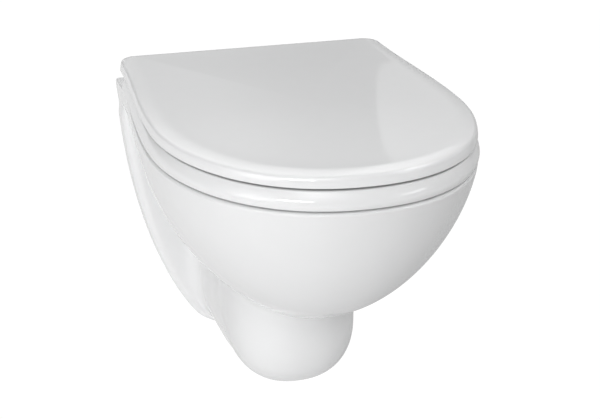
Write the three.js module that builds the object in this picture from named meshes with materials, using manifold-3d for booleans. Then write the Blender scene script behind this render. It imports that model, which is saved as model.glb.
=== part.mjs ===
// A wall hung toilet: a vitreous china pan held to a wall by two bolts, with a hinged seat and lid.
// Millimetres. +Z is up, the wall is the plane y = 0, and the toilet stands out along -Y.
// The origin lies on the wall face, midway between the two fixing holes.
// "Reach" is a distance out from the wall, and "drop" is a distance down from the top of the rim.

import * as THREE from "three";
import { mergeVertices } from "three/addons/utils/BufferGeometryUtils.js";
import Module from "manifold-3d";

const wasm = await Module();
wasm.setup();

// Driving dimensions of the pan, seen from above
const panWidth = 358;
const panReach = 504;
const widestReach = 285;
const deckWidth = 318;
const planPowerShare = 2.15;

// Driving dimensions of the pan, seen from the side
const rimHeight = 80;
const panHeight = 345;
const bowlDepth = 213;
const bowlBackReach = 84;
const bowlLean = 71;
const bowlSidePowerShare = 1.78;
const bowlSideRootShare = 1.48;
const bowlFrontPowerShare = 2.85;
const bowlFrontRootShare = 2.04;
const bowlPlanPowerShare = 2.36;
const bowlBackPowerShare = 2.6;
const rimRound = 4;
const deckTopDrop = 24;
const deckUnderDrop = 46;

// Wall flange
const flangeDepth = 30;
const flangeRound = 12;
const flangeFillet = 20;
const leastFillet = 1.5;
const flangeTip = 357;
const flangeEndRound = 26;
const flangePowerShare = 1.7;

// Neck and trap bulge below the bowl
const neckHalf = 54;
const lowNeckHalf = 68;
const neckWidenDrop = 150;
const neckLowDrop = 240;
const neckReach = 110;
const bulgeHalf = 75;
const bulgeReach = 215;
const bulgeNose = 295;
const bulgeBottom = 318;
const bulgeShoulder = 240;
const bulgePowerShare = 2.3;
const blend = 26;

// Inside of the bowl
const rimSide = 55;
const rimFront = 52;
const wellHalf = panWidth / 2 - rimSide;
const wellFront = panReach - rimFront;
const wellBack = 168;
const bowlWall = 10;
const bowlFloor = 14;
const wellBackPowerShare = 0.6;
const lipThickness = 10;
const lipDrop = 38;
const channelWidth = 22;
const channelDrop = 13;
const sumpHalf = 32;
const sumpReach = 230;
const sumpDrop = 196;

// Water ways and plumbing ends
const trapRadius = 27;
const dipDrop = 222;
const dipBend = 41;
const weirDrop = 150;
const weirBend = 34;
const inletRise = 35;
const inletBore = 44;
const inletOuter = 55;
const outletFall = 100;
const outletBore = 88;
const outletOuter = 102;
const outletDepth = 40;
const backRecess = 18;
const landWidth = 16;

// Wall fixings
const boltSpacing = 180;
const boltHole = 18;
const bossRadius = 22;
const crossRib = 9;
const fit = 0.3;
const sleeveThick = 2.4;
const sleeveFlange = 15;
const washerRadius = 13;
const washerThick = 2.5;
const boltSize = 12;
const nutAcross = 19;
const nutThick = 10;
const capRadius = 15;
const capWall = 1.6;
const capLength = 19;

// Seat and lid, seen from above
const seatOverhang = 1;
const lidSetback = 3;
const coverTaper = 28;
const seatWidth = panWidth + 2 * seatOverhang;
const seatReach = panReach + seatOverhang;
const seatBackReach = 56;
const lidReach = seatReach - lidSetback;
const lidBackReach = 40;
const coverBackWidth = seatWidth - coverTaper;
const cornerRadius = 22;

// Seat and lid, seen from the side
const seatLift = 2.8;
const seatThick = 20.2;
const seatGap = 3;
const lidThick = 14;
const lidCrown = 2.6;
const lidShell = 5;
const lidRound = 10;
const lidTailShare = 0.2;
const lidFoot = 0.8;
const lidBar = 64;
const leastCorner = 4;
const seatFoot = 1;
const seatLean = 4.6;
const seatBow = 1.6;
const seatBrow = 1.7;
const seatRound = 7;
const seatDish = 2.4;
const seatSideShares = [0.12, 0.45, 0.87];
const seatEdgeShare = 0.3;
const seatCrestShare = 0.6;
const lidCrownShares = [0.35, 0.65, 0.88];
const ceilingShare = 0.5;
const ringSide = 64;
const ringFront = 61;
const holeSetback = 4;
const holeHalf = seatWidth / 2 - ringSide;
const holeFront = seatReach - ringFront;
const holeBack = wellBack + holeSetback;

// Hinges
const hingeSpacing = 155;
const hingeReach = 48;
const hingeHeight = 32;
const eyeRadius = 6.1;
const eyeGap = 0.4;
const pinRadius = 2.6;
const bushWall = 1.1;
const postThick = 14;
const knuckleThick = 13;
const pinGrip = 9;
const sideGap = 0.5;
const skinRise = 5.6;
const armRise = 2.5;
const armFall = 3.5;
const armRoot = 14;
const riserOffset = 18;
const riserFall = 20;
const uprightOffset = 12;
const uprightDepth = 10;
const padLip = 1;
const postReach = 60;
const postBase = 16;
const postBaseThick = 4.5;
const padThick = 1.5;
const stemRadius = 4;
const hingeHole = 14;
const wingNutRadius = 9;
const wingNutThick = 7;
const wingThick = 3;
const wingDrop = 5;
const wingSpan = 27;
const coneRadius = 11;
const coneThick = 8;
const coneChamfer = 2;
const deckSeatDrop = 36;
const hingeBayHalf = 100.5;
const hingeBayReach = 80;

// Buffers
const bufferRadius = 9;
const bufferRound = 1.2;
const pegRadius = 3;
const pegLength = 6;
const frontBufferShare = 0.22;
const backBufferShare = 0.78;
const bufferPlaceShare = 0.5;
const pegSides = 12;

// Counts of points
const bodySteps = 18;
const arcSteps = 3;
const ovalSteps = 13;
const sideSteps = 5;
const halvingSteps = 30;
const roundSides = 18;
const smallSides = 16;
const nutSides = 6;
const wellSteps = 20;
const bendSteps = 5;
const overrun = 1;

const rim = rimHeight;
const halfPan = panWidth / 2;
const axisZ = rim + hingeHeight;
const hingeX = hingeSpacing / 2;
const boltX = boltSpacing / 2;

const china = new THREE.MeshStandardMaterial({ color: 0xf1f1ef, roughness: 0.08, metalness: 0 });
const thermoset = new THREE.MeshStandardMaterial({ color: 0xeeeeec, roughness: 0.18, metalness: 0 });
const nylon = new THREE.MeshStandardMaterial({ color: 0xe4e4e0, roughness: 0.45, metalness: 0 });
const steel = new THREE.MeshStandardMaterial({ color: 0xb9bcc0, roughness: 0.3, metalness: 1 });
const soft = new THREE.MeshStandardMaterial({ color: 0xdadad6, roughness: 0.7, metalness: 0 });

const toilet = new THREE.Group();

function addPiece(name, solid, material) {
  const mesh = new THREE.Mesh(toGeometry(solid), material);
  mesh.name = name;
  toilet.add(mesh);
}

// Solids: a closed geometry becomes a manifold for cutting and joining, and goes back again

function toSolid(geometry) {
  const bare = geometry.clone();
  bare.deleteAttribute("normal");
  bare.deleteAttribute("uv");
  const merged = mergeVertices(bare);
  return new wasm.Manifold(new wasm.Mesh({
    numProp: 3,
    vertProperties: new Float32Array(merged.attributes.position.array),
    triVerts: new Uint32Array(merged.index.array),
  }));
}

function toGeometry(solid) {
  const mesh = solid.getMesh();
  const geometry = new THREE.BufferGeometry();
  geometry.setAttribute("position", new THREE.BufferAttribute(new Float32Array(mesh.vertProperties), 3));
  geometry.setIndex(new THREE.BufferAttribute(new Uint32Array(mesh.triVerts), 1));
  return geometry;
}

function round(radius, length, axis, centre, sides = roundSides, endRadius = radius) {
  const geometry = new THREE.CylinderGeometry(endRadius, radius, length, sides);
  if (axis === "x") geometry.rotateZ(-Math.PI / 2);
  if (axis === "z") geometry.rotateX(Math.PI / 2);
  geometry.translate(...centre);
  return toSolid(geometry);
}

function block(low, high) {
  const size = high.map((value, i) => value - low[i]);
  const geometry = new THREE.BoxGeometry(...size);
  geometry.translate(...low.map((value, i) => value + size[i] / 2));
  return toSolid(geometry);
}

// A profile of [radius, height] pairs turned about the axis
function turned(profile, axis, centre, sides = roundSides) {
  const points = profile.map(([radius, height]) => new THREE.Vector2(radius, height));
  const geometry = new THREE.LatheGeometry(points, sides);
  if (axis === "-y") geometry.rotateX(Math.PI);
  if (axis === "z") geometry.rotateX(Math.PI / 2);
  if (axis === "-z") geometry.rotateX(-Math.PI / 2);
  geometry.translate(...centre);
  return toSolid(geometry);
}

// Skins rings of points into a closed body: each ring joins the next, and the ends get a fan.
// With closed set, the last ring joins the first instead.
function loft(rings, closed = false) {
  const count = rings[0].length;
  const points = rings.flat();
  const triangles = [];
  const bands = closed ? rings.length : rings.length - 1;
  for (let band = 0; band < bands; band++) {
    const here = band * count;
    const there = ((band + 1) % rings.length) * count;
    for (let i = 0; i < count; i++) {
      const next = (i + 1) % count;
      triangles.push(here + i, here + next, there + next, here + i, there + next, there + i);
    }
  }
  if (!closed) {
    for (const [ring, flip] of [[0, true], [rings.length - 1, false]]) {
      const centre = points.length;
      const sum = rings[ring].reduce((total, p) => total.add(p), new THREE.Vector3());
      points.push(sum.divideScalar(count));
      for (let i = 0; i < count; i++) {
        const a = ring * count + i;
        const b = ring * count + (i + 1) % count;
        triangles.push(...(flip ? [centre, b, a] : [centre, a, b]));
      }
    }
  }
  return orientedSolid(points, triangles);
}

function orientedSolid(points, triangles) {
  const volume = (flipped) => {
    let sum = 0;
    for (let i = 0; i < triangles.length; i += 3) {
      const [a, b, c] = [triangles[i], triangles[i + 1], triangles[i + 2]].map((k) => points[k]);
      sum += a.dot(b.clone().cross(c));
    }
    return flipped ? -sum : sum;
  };
  const order = volume(false) > 0 ? triangles : triangles.slice().reverse();
  return new wasm.Manifold(new wasm.Mesh({
    numProp: 3,
    vertProperties: new Float32Array(points.flatMap((p) => p.toArray())),
    triVerts: new Uint32Array(order),
  }));
}

// Curves that shape the china

// Eases from 1 down to 0 as t goes from 0 to 1, level at both ends
function ease(t) {
  return (1 + Math.cos(Math.PI * THREE.MathUtils.clamp(t, 0, 1))) / 2;
}

// Half breadth of a unit oval at t along its half length, negative past its end
function oval(t, power) {
  const rest = 1 - Math.abs(t) ** power;
  return Math.sign(rest) * Math.abs(rest) ** (1 / power);
}

function softMax(a, b, radius) {
  const overlap = Math.max(radius - Math.abs(a - b), 0) / radius;
  return Math.max(a, b) + overlap * overlap * radius / 4;
}

// The top edge of the rim is rounded, as a share of the half width
function rimInset(drop) {
  if (drop >= rimRound) return 0;
  return (rimRound - Math.sqrt(rimRound ** 2 - (rimRound - drop) ** 2)) / halfPan;
}

// Going down, the bowl narrows, its front draws back and its middle leans towards the wall
function bowlAt(drop) {
  const t = drop / bowlDepth;
  return {
    middle: widestReach - bowlLean * t,
    side: Math.max(1 - t ** bowlSidePowerShare, 0) ** (1 / bowlSideRootShare) - rimInset(drop),
    front: Math.max(1 - t ** bowlFrontPowerShare, 0) ** (1 / bowlFrontRootShare) - rimInset(drop),
    power: THREE.MathUtils.lerp(planPowerShare, bowlPlanPowerShare, t),
  };
}

function bowlBreadth(reach, drop) {
  if (drop >= bowlDepth) return -halfPan;
  const { middle, side, front, power } = bowlAt(drop);
  const frontRun = (panReach - widestReach) * front;
  const backRun = (widestReach - bowlBackReach) * side;
  if (reach >= middle) return halfPan * side * oval((reach - middle) / frontRun, power);
  return halfPan * side * oval((middle - reach) / backRun, bowlBackPowerShare);
}

// The rim and deck run back to the wall, and narrow a little on the way
function deckBreadth(reach, drop) {
  const { middle, side } = bowlAt(drop);
  if (reach >= middle) return bowlBreadth(reach, drop);
  const deckHalf = deckWidth / 2;
  return (deckHalf + (halfPan - deckHalf) * ease((middle - reach) / middle)) * side;
}

// The neck carries the trap, and swells into a bulge that ends in a rounded nose
function neckBreadth(reach, drop) {
  const widening = 1 - ease((drop - neckWidenDrop) / (neckLowDrop - neckWidenDrop));
  const narrow = neckHalf + (lowNeckHalf - neckHalf) * widening;
  const past = Math.max(drop - bulgeShoulder, 0);
  const shoulder = (bottom) => oval(past / (bottom - bulgeShoulder), bulgePowerShare);
  if (reach >= bulgeReach) {
    const scale = shoulder(bulgeBottom);
    if (scale <= 0) return -halfPan;
    const noseRun = (bulgeNose - bulgeReach) * scale;
    return bulgeHalf * scale * oval((reach - bulgeReach) / noseRun, bulgePowerShare);
  }
  const swell = ease((bulgeReach - reach) / (bulgeReach - neckReach));
  const bottom = bulgeBottom + (panHeight - bulgeBottom) * (1 - swell);
  return (narrow + (bulgeHalf - narrow) * swell) * shoulder(bottom);
}

// 0 at the deck and 1 below it, where the bowl, neck and flange part from each other
function parting(drop) {
  return 1 - ease((drop - deckTopDrop) / (deckUnderDrop - deckTopDrop));
}

function bodyBreadth(reach, drop) {
  const below = softMax(bowlBreadth(reach, drop), neckBreadth(reach, drop), blend);
  const share = parting(drop);
  return share < 1 ? THREE.MathUtils.lerp(deckBreadth(reach, drop), below, share) : below;
}

// The flange narrows towards a tip below the pan, and is rounded off at the pan's bottom
function flangeHalf(drop) {
  const narrowing = Math.sqrt(1 - (drop / flangeTip) ** flangePowerShare);
  const end = Math.max(drop - (panHeight - flangeEndRound), 0) / flangeEndRound;
  return deckWidth / 2 * narrowing * oval(end, 2);
}

// Furthest reach of the pan at a level, found by halving
function noseReach(drop) {
  let outside = panReach + overrun;
  let inside = outside;
  while (bodyBreadth(inside, drop) <= 0 && inside > 0) inside -= leastFillet;
  for (let i = 0; i < halvingSteps; i++) {
    const middle = (outside + inside) / 2;
    if (bodyBreadth(middle, drop) > 0) inside = middle;
    else outside = middle;
  }
  return inside;
}

// One level of the pan: from the wall round the flange's edge, along the neck and bowl to the nose,
// and back on the other side
function panLevel(drop) {
  const below = parting(drop);
  const half = flangeHalf(drop);
  const edge = Math.min(flangeRound, half / 2);
  const bodyStart = flangeDepth + flangeFillet;
  const neck = Math.min(neckBreadth(bodyStart, drop), half - edge - leastFillet);
  const fillet = Math.min(flangeFillet, half - edge - neck);
  const side = [[half, 0]];
  for (let i = 0; i <= arcSteps; i++) {
    const angle = i / arcSteps * Math.PI / 2;
    const reach = flangeDepth - edge + edge * Math.sin(angle);
    side.push([half - edge + edge * Math.cos(angle), reach]);
  }
  for (let i = 0; i <= arcSteps; i++) {
    const angle = i / arcSteps * Math.PI / 2;
    const reach = flangeDepth + flangeFillet * (1 - Math.cos(angle));
    side.push([neck + fillet * (1 - Math.sin(angle)), reach]);
  }
  const right = side.map(([x, reach]) => {
    if (below === 1) return [x, reach];
    return [THREE.MathUtils.lerp(deckBreadth(reach, drop), x, below), reach];
  });
  const nose = Math.max(noseReach(drop), bodyStart + leastFillet);
  for (let i = 1; i < bodySteps; i++) {
    const reach = bodyStart + (nose - bodyStart) * Math.sin(i / bodySteps * Math.PI / 2);
    right.push([Math.max(bodyBreadth(reach, drop), leastFillet / 2), reach]);
  }
  const z = rim - drop;
  return [
    ...right.map(([x, reach]) => new THREE.Vector3(x, -reach, z)),
    new THREE.Vector3(0, -nose, z),
    ...right.reverse().map(([x, reach]) => new THREE.Vector3(-x, -reach, z)),
  ];
}

const levelShares = [
  0, 0.002, 0.006, 0.0125, 0.021, 0.07, 0.083, 0.094, 0.102, 0.11, 0.118, 0.128, 0.15, 0.19, 0.24, 0.29,
  0.34, 0.39, 0.435, 0.475, 0.51, 0.54, 0.565, 0.59, 0.62, 0.66, 0.71, 0.76, 0.805, 0.845, 0.88, 0.905,
  0.925, 0.945, 0.965, 0.982, 0.995,
];

// Inside of the bowl, as ovals with their broadest place partway between back and front

function wellRing(half, front, back, drop) {
  const ring = [];
  const middle = (back + front) / 2;
  for (let i = 0; i < 2 * wellSteps; i++) {
    const angle = i / wellSteps * Math.PI;
    const across = Math.cos(angle);
    const along = Math.sin(angle);
    const x = half * Math.sign(across) * Math.abs(across) ** (2 / planPowerShare);
    const run = Math.sign(along) * Math.abs(along) ** (2 / planPowerShare);
    ring.push(new THREE.Vector3(x, -middle - run * (front - back) / 2, rim - drop));
  }
  return ring;
}

// The mouth, made wider by grow
function mouthRing(grow, drop) {
  return wellRing(wellHalf + grow, wellFront + grow, wellBack - grow, drop);
}

// Below the lip the well keeps the bowl's wall, and its back comes forward to the sump
function wellLevel(drop) {
  const { middle, side, front } = bowlAt(drop + bowlFloor);
  const half = Math.max(halfPan * side - bowlWall, sumpHalf);
  const bowlFront = middle + (panReach - widestReach) * front;
  const frontReach = Math.max(bowlFront - bowlWall, sumpReach + sumpHalf);
  const share = Math.max(drop - lipDrop, 0) / (sumpDrop - lipDrop);
  const channelBack = wellBack - lipThickness - channelWidth;
  const backReach = THREE.MathUtils.lerp(channelBack, sumpReach - sumpHalf, share ** wellBackPowerShare);
  return wellRing(half, frontReach, backReach, drop);
}

function bowlInside() {
  const mouth = loft([mouthRing(0, -overrun), mouthRing(0, lipDrop + overrun)]);
  const channel = loft([
    mouthRing(lipThickness, lipDrop + overrun),
    mouthRing(lipThickness, channelDrop),
    wellLevel(channelDrop),
    wellLevel(lipDrop + overrun),
  ], true);
  const wellShares = [0, 0.14, 0.3, 0.46, 0.61, 0.74, 0.85, 0.94, 1];
  const well = loft(wellShares.map((share) => wellLevel(THREE.MathUtils.lerp(lipDrop, sumpDrop, share))));
  return mouth.add(channel).add(well);
}

// Points of [reach, drop] round a bend, from the side away from the wall through some quarter turns
function bendPoints(reach, drop, radius, turns) {
  const points = [];
  const steps = bendSteps * Math.abs(turns);
  for (let i = 0; i <= steps; i++) {
    const angle = i / steps * turns * Math.PI / 2;
    points.push([reach + radius * Math.cos(angle), drop + radius * Math.sin(angle)]);
  }
  return points;
}

// The trap: down from the sump, up over the weir and down to the outlet
function trapWay() {
  const upLeg = sumpReach - 2 * dipBend;
  const overLeg = upLeg - 2 * weirBend;
  const outletDrop = rimHeight + outletFall;
  const outletBend = outletDrop - weirDrop;
  const path = [
    [sumpReach, sumpDrop - trapRadius / 2],
    ...bendPoints(upLeg + dipBend, dipDrop, dipBend, 2),
    ...bendPoints(overLeg + weirBend, weirDrop, weirBend, -2),
    ...bendPoints(overLeg - outletBend, weirDrop, outletBend, 1),
    [-overrun, outletDrop],
  ];
  const run = (from, to) => Math.hypot(to[0] - from[0], to[1] - from[1]);
  const kept = path.filter((point, i) => i === 0 || run(path[i - 1], point) > overrun);
  return loft(kept.map((point, i) => {
    const before = kept[Math.max(i - 1, 0)];
    const after = kept[Math.min(i + 1, kept.length - 1)];
    const along = after.map((value, k) => (value - before[k]) / run(before, after));
    return pipeRing(point, along);
  }));
}

// A ring of the trap at a [reach, drop], square to a direction along it
function pipeRing([reach, drop], along) {
  const ring = [];
  for (let i = 0; i < smallSides; i++) {
    const angle = i / smallSides * 2 * Math.PI;
    const out = trapRadius * Math.sin(angle);
    const outReach = reach + along[1] * out;
    const outDrop = drop - along[0] * out;
    ring.push(new THREE.Vector3(trapRadius * Math.cos(angle), -outReach, rim - outDrop));
  }
  return ring;
}

// The back of the flange is hollowed out inside a land that bears on the wall
function backHollow() {
  const outline = new THREE.Shape();
  const drops = levelShares.map((share) => share * panHeight);
  const inner = drops.filter((drop) => drop > landWidth && drop < panHeight - landWidth);
  const level = inner.map((drop) => [flangeHalf(drop) - landWidth, rim - drop]);
  const side = level.filter(([x]) => x > landWidth / 2);
  const points = [...side, ...side.slice().reverse().map(([x, z]) => [-x, z])];
  outline.setFromPoints(points.map(([x, z]) => new THREE.Vector2(x, z)));
  const depth = backRecess + overrun;
  const geometry = new THREE.ExtrudeGeometry(outline, { depth, bevelEnabled: false });
  geometry.rotateX(Math.PI / 2);
  geometry.translate(0, overrun, 0);
  const post = (radius, x, z) => round(radius, backRecess + depth, "y", [x, -backRecess, z]);
  const kept = [
    post(inletOuter / 2, 0, inletRise),
    post(outletOuter / 2, 0, -outletFall),
    post(bossRadius, boltX, 0),
    post(bossRadius, -boltX, 0),
    block([-boltX, -depth, -crossRib], [boltX, overrun, crossRib]),
  ];
  return kept.reduce((hollow, piece) => hollow.subtract(piece), toSolid(geometry));
}

function makePan() {
  let pan = loft(levelShares.map((share) => panLevel(share * panHeight)));
  pan = pan.subtract(bowlInside()).subtract(trapWay()).subtract(backHollow());
  const inletReach = wellBack - lipThickness - channelWidth + inletBore / 2;
  const fromWall = (radius, depth, x, z) => {
    return round(radius, depth + overrun, "y", [x, (overrun - depth) / 2, z]);
  };
  pan = pan.subtract(fromWall(inletBore / 2, inletReach, 0, inletRise));
  pan = pan.subtract(fromWall(outletBore / 2, outletDepth, 0, -outletFall));
  const seatDepth = deckUnderDrop - deckSeatDrop;
  const deckMiddle = rim - deckUnderDrop / 2;
  const coneMiddle = rim - deckSeatDrop - seatDepth;
  for (const sign of [-1, 1]) {
    const [x, y] = [sign * hingeX, -postReach];
    const stemHole = round(hingeHole / 2, deckUnderDrop + 2 * overrun, "z", [x, y, deckMiddle]);
    const coneSeat = round(coneRadius + overrun, 2 * seatDepth, "z", [x, y, coneMiddle]);
    pan = pan.subtract(fromWall(boltHole / 2, flangeDepth + overrun, sign * boltX, 0));
    pan = pan.subtract(stemHole).subtract(coneSeat);
  }
  return pan;
}

// Seat and lid

// Right half of their outline, from the middle of the front to the middle of the back
function coverSide(inset, front, back) {
  const half = seatWidth / 2 - inset;
  const backHalf = coverBackWidth / 2 - inset;
  const corner = Math.max(cornerRadius - inset, leastCorner);
  const end = back + inset;
  const side = [];
  for (let i = 0; i <= ovalSteps; i++) {
    const angle = i / ovalSteps * Math.PI / 2;
    const run = Math.cos(angle) ** (2 / planPowerShare) * (front - inset - widestReach);
    side.push([half * Math.sin(angle) ** (2 / planPowerShare), widestReach + run]);
  }
  for (let i = 1; i <= sideSteps; i++) {
    const reach = THREE.MathUtils.lerp(widestReach, end + corner, i / sideSteps);
    const narrowing = ease((widestReach - reach) / (widestReach - back));
    side.push([backHalf + (half - backHalf) * narrowing, reach]);
  }
  const cornerX = side[side.length - 1][0] - corner;
  for (let i = 1; i <= arcSteps; i++) {
    const angle = i / arcSteps * Math.PI / 2;
    side.push([cornerX + corner * Math.cos(angle), end + corner * (1 - Math.sin(angle))]);
  }
  side.push([cornerX / 2, end], [0, end]);
  return side;
}

// The hole in the seat, with as many points as the outline
function holeSide(grow) {
  const steps = ovalSteps + sideSteps + arcSteps + 2;
  const middle = (holeFront + holeBack) / 2;
  const halfLength = (holeFront - holeBack) / 2 + grow;
  const side = [];
  for (let i = 0; i <= steps; i++) {
    const angle = i / steps * Math.PI;
    const along = Math.sign(Math.cos(angle)) * Math.abs(Math.cos(angle)) ** (2 / planPowerShare);
    const aside = i < steps ? Math.abs(Math.sin(angle)) ** (2 / planPowerShare) : 0;
    side.push([(holeHalf + grow) * aside, middle + along * halfLength]);
  }
  return side;
}

function ringAt(side, z) {
  const right = side.map(([x, reach]) => new THREE.Vector3(x, -reach, z));
  const left = right.slice(1, -1).reverse().map((p) => new THREE.Vector3(-p.x, p.y, p.z));
  return [...right, ...left];
}

function sideBetween(outer, inner, share) {
  return outer.map(([x, reach], i) => [
    THREE.MathUtils.lerp(x, inner[i][0], share),
    THREE.MathUtils.lerp(reach, inner[i][1], share),
  ]);
}

// Limits in x of a piece of the left or right hinge, from and to counted outwards from its post
function across(sign, from, to) {
  return sign > 0 ? [hingeX + from, hingeX + to] : [-hingeX - to, -hingeX - from];
}

function barAlongX(radius, sign, from, to, sides = smallSides) {
  const [low, high] = across(sign, from, to);
  return round(radius, high - low, "x", [(low + high) / 2, -hingeReach, axisZ], sides);
}

const postEdge = postThick / 2;
const knuckleStart = postEdge + sideGap;
const knuckleEnd = knuckleStart + knuckleThick;
const slotStart = -postEdge - sideGap;
const slotEnd = knuckleEnd + sideGap;
const bushBore = pinRadius + fit;
const bushRadius = bushBore + bushWall;
const bushHole = bushRadius + fit;

const seatBottom = rim + seatLift;
const seatTop = seatBottom + seatThick;
const lidBottom = seatTop + seatGap;
const lidTop = lidBottom + lidThick;
const lidCeiling = lidTop - lidShell;

function makeSeat() {
  const outer = (inset) => coverSide(inset, seatReach, seatBackReach);
  const seatEdge = seatRound * seatEdgeShare;
  const side = seatSideShares.map((share) => {
    return ringAt(outer(seatLean * share ** seatBow), seatBottom + seatThick * share);
  });
  const crest = sideBetween(outer(0), holeSide(0), seatCrestShare);
  const rings = [
    ringAt(outer(seatFoot), seatBottom),
    ...side,
    ringAt(outer(seatLean), seatTop - seatEdge / 3),
    ringAt(outer(seatLean + seatBrow), seatTop),
    ringAt(crest, seatTop - seatDish / 3),
    ringAt(holeSide(seatRound), seatTop - seatDish),
    ringAt(holeSide(seatEdge), seatTop - seatDish - seatEdge),
    ringAt(holeSide(0), seatTop - seatDish - seatRound),
    ringAt(holeSide(seatFoot), seatBottom),
  ];
  let seat = loft(rings, true);
  const bay = block(
    [-hingeBayHalf, -hingeBayReach, seatBottom - overrun],
    [hingeBayHalf, -seatBackReach + overrun, seatTop + overrun],
  );
  seat = seat.subtract(bay);
  for (const sign of [-1, 1]) {
    const [low, high] = across(sign, knuckleStart, knuckleEnd);
    const riser = block(
      [low, -hingeBayReach - armRoot, axisZ - riserFall],
      [high, -hingeReach - riserOffset, axisZ + armRise],
    );
    const arm = block(
      [low, -hingeReach - riserOffset - overrun, axisZ - armFall],
      [high, -hingeReach, axisZ + armRise],
    );
    const eye = barAlongX(eyeRadius, sign, knuckleStart, knuckleEnd);
    const bore = barAlongX(bushHole, sign, knuckleStart - overrun, knuckleEnd + overrun);
    seat = seat.add(riser).add(arm).add(eye).subtract(bore);
  }
  for (const [x, y] of bufferPlaces()) {
    const pegHole = round(pegRadius + fit, 2 * pegLength, "z", [x, y, seatBottom], pegSides);
    seat = seat.subtract(pegHole);
  }
  return seat;
}

// A place in the middle of the seat's ring, a share of the way from its front to its back
function onSeat(share) {
  const outer = coverSide(0, seatReach, seatBackReach);
  const middle = sideBetween(outer, holeSide(0), bufferPlaceShare);
  const [x, reach] = middle[Math.round(share * (middle.length - 1))];
  return [x, -reach];
}

function bufferPlaces() {
  const right = [onSeat(frontBufferShare), onSeat(backBufferShare)];
  return right.flatMap(([x, y]) => [[-x, y], [x, y]]);
}

function makeLid() {
  const outer = (inset) => coverSide(inset, lidReach, lidBackReach - lidTailShare * inset);
  const hollow = coverSide(lidShell, lidReach, lidBar - lidShell);
  const middle = (lidReach + lidBackReach) / 2;
  const shrunk = (side, share) => {
    return side.map(([x, reach]) => [x * share, THREE.MathUtils.lerp(middle, reach, share)]);
  };
  const rings = lidCrownShares.map((share) => {
    return ringAt(shrunk(outer(lidRound), share), lidTop + lidCrown * (1 - share ** 2));
  });
  for (let i = 0; i <= arcSteps; i++) {
    const angle = i / arcSteps * Math.PI / 2;
    const inset = lidRound * (1 - Math.sin(angle));
    rings.push(ringAt(outer(inset), lidTop - lidRound * (1 - Math.cos(angle))));
  }
  rings.push(
    ringAt(outer(0), lidBottom + lidFoot),
    ringAt(outer(lidFoot), lidBottom),
    ringAt(hollow, lidBottom),
    ringAt(hollow, lidCeiling),
    ringAt(shrunk(hollow, ceilingShare), lidCeiling),
  );
  let lid = loft(rings);
  for (const sign of [-1, 1]) {
    const [low, high] = across(sign, slotStart, slotEnd);
    const below = block(
      [low, -lidBar - overrun, lidBottom - overrun],
      [high, -lidBackReach + overrun, axisZ],
    );
    const behind = block(
      [low, -hingeReach, axisZ - overrun],
      [high, -lidBackReach + overrun, axisZ + skinRise],
    );
    const ahead = block(
      [low, -lidBar - overrun, axisZ - overrun],
      [high, -hingeReach, lidCeiling],
    );
    const bore = barAlongX(bushHole, sign, slotStart - pinGrip - fit, slotEnd + pinGrip + fit);
    const eyeRoom = barAlongX(eyeRadius + eyeGap, sign, slotStart, slotEnd);
    lid = lid.subtract(below).subtract(behind).subtract(ahead).subtract(bore).subtract(eyeRoom);
  }
  // The pins slide in from a groove between the hinges
  const grooveHalf = hingeX + slotStart - pinGrip;
  const groove = block(
    [-grooveHalf, -hingeReach - bushHole, lidBottom - overrun],
    [grooveHalf, -hingeReach + bushHole, axisZ + bushHole],
  );
  return lid.subtract(groove);
}

addPiece("pan", makePan(), china);
addPiece("seat", makeSeat(), thermoset);
addPiece("lid", makeLid(), thermoset);

// Buffers: pegged into the seat's underside, and glued under the lid where they meet the seat

bufferPlaces().forEach(([x, y], i) => {
  const head = seatLift - 2 * fit;
  const profile = [
    [0, 0], [bufferRadius - bufferRound, 0], [bufferRadius, bufferRound], [bufferRadius, head],
    [pegRadius, head], [pegRadius, head + pegLength], [0, head + pegLength],
  ];
  const name = `seat_buffer_${i < 2 ? "front" : "back"}_${i % 2 ? "right" : "left"}`;
  addPiece(name, turned(profile, "z", [x, y, rim + fit], pegSides), soft);
});

bufferPlaces().forEach(([x, y], i) => {
  const height = lidCeiling - seatTop - 2 * fit;
  const profile = [
    [0, 0], [bufferRadius - bufferRound, 0], [bufferRadius, bufferRound],
    [bufferRadius, height], [0, height],
  ];
  const name = `lid_buffer_${i < 2 ? "front" : "back"}_${i % 2 ? "right" : "left"}`;
  addPiece(name, turned(profile, "z", [x, y, seatTop + fit], pegSides), soft);
});

// Hinges: post, pad, pin, bushes, and the clamping parts below the deck

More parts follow.
